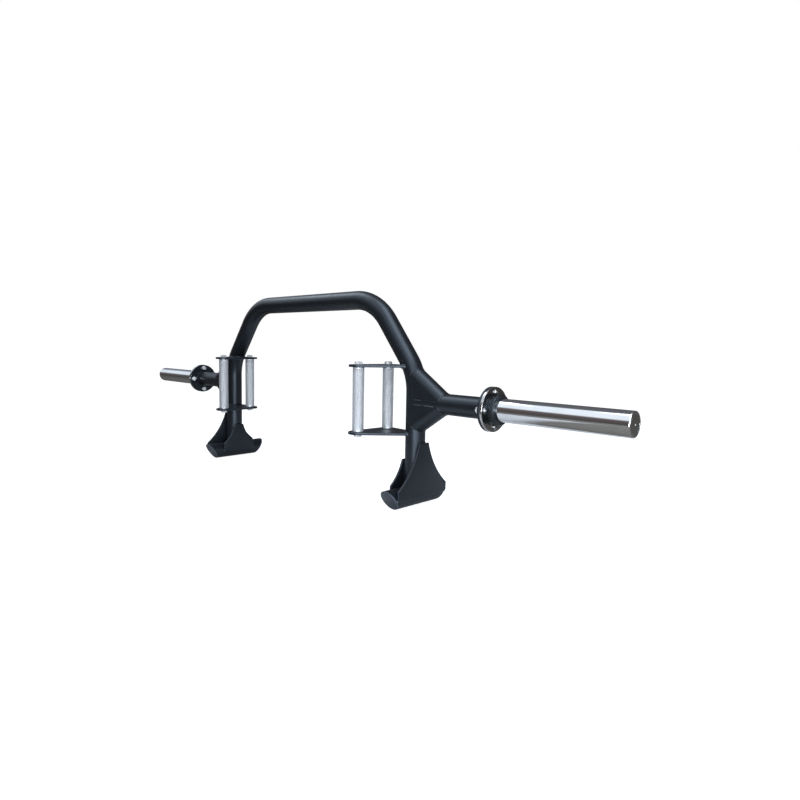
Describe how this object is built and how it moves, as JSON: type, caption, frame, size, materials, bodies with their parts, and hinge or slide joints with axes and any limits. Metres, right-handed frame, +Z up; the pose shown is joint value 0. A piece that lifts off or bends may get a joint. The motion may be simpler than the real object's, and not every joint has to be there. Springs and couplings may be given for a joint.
{
  "type": "open trap bar",
  "caption": "Open-ended trap bar: a bent tube arch on braced feet, with upright knurled hand grips and chromed loading sleeves bolted on by flanges.",
  "frame": {"origin": "on the floor, under the middle of the space that the bar takes up", "axes": "+X along the sleeves to the right, -Y towards the open front where the front grips are, +Z up"},
  "size_m": [1.8712, 0.2205, 0.5211],
  "materials": {
    "black_coat": "satin black powder coat with a fine grain",
    "chrome": "polished chrome",
    "knurled_steel": "knurled, satin chrome",
    "zinc": "bright zinc plate",
    "rubber": "smooth black rubber"
  },
  "bodies": {
    "root": {"arch_tube": "black_coat", "arm_tube_left": "black_coat", "arm_tube_right": "black_coat", "bottom_bracket_left": "black_coat", "bottom_bracket_right": "black_coat", "flange_bolt_left_1": "zinc", "flange_bolt_left_2": "zinc", "flange_bolt_left_3": "zinc", "flange_bolt_left_4": "zinc", "flange_bolt_right_1": "zinc", "flange_bolt_right_2": "zinc", "flange_bolt_right_3": "zinc", "flange_bolt_right_4": "zinc", "foot_bar_left": "black_coat", "foot_bar_right": "black_coat", "foot_cap_front_left": "black_coat", "foot_cap_front_right": "black_coat", "foot_cap_rear_left": "black_coat", "foot_cap_rear_right": "black_coat", "frame_flange_left": "black_coat", "frame_flange_right": "black_coat", "front_bottom_bolt_left": "zinc", "front_bottom_bolt_right": "zinc", "front_handle_left": "knurled_steel", "front_handle_right": "knurled_steel", "front_top_bolt_left": "zinc", "front_top_bolt_right": "zinc", "inner_cheek_left": "black_coat", "inner_cheek_right": "black_coat", "lower_back_web_left": "black_coat", "lower_back_web_right": "black_coat", "lower_brace_left": "black_coat", "lower_brace_right": "black_coat", "lower_front_web_left": "black_coat", "lower_front_web_right": "black_coat", "outer_cheek_left": "black_coat", "outer_cheek_right": "black_coat", "plate_stop_left": "rubber", "plate_stop_right": "rubber", "rear_bottom_bolt_left": "zinc", "rear_bottom_bolt_right": "zinc", "rear_handle_left": "knurled_steel", "rear_handle_right": "knurled_steel", "rear_top_bolt_left": "zinc", "rear_top_bolt_right": "zinc", "sleeve_flange_left": "chrome", "sleeve_flange_right": "chrome", "sleeve_left": "chrome", "sleeve_plug_left": "chrome", "sleeve_plug_right": "chrome", "sleeve_right": "chrome", "top_bracket_left": "black_coat", "top_bracket_right": "black_coat", "upper_back_web_left": "black_coat", "upper_back_web_right": "black_coat", "upper_brace_left": "black_coat", "upper_brace_right": "black_coat", "upper_front_web_left": "black_coat", "upper_front_web_right": "black_coat"}
  },
  "joints": []
}
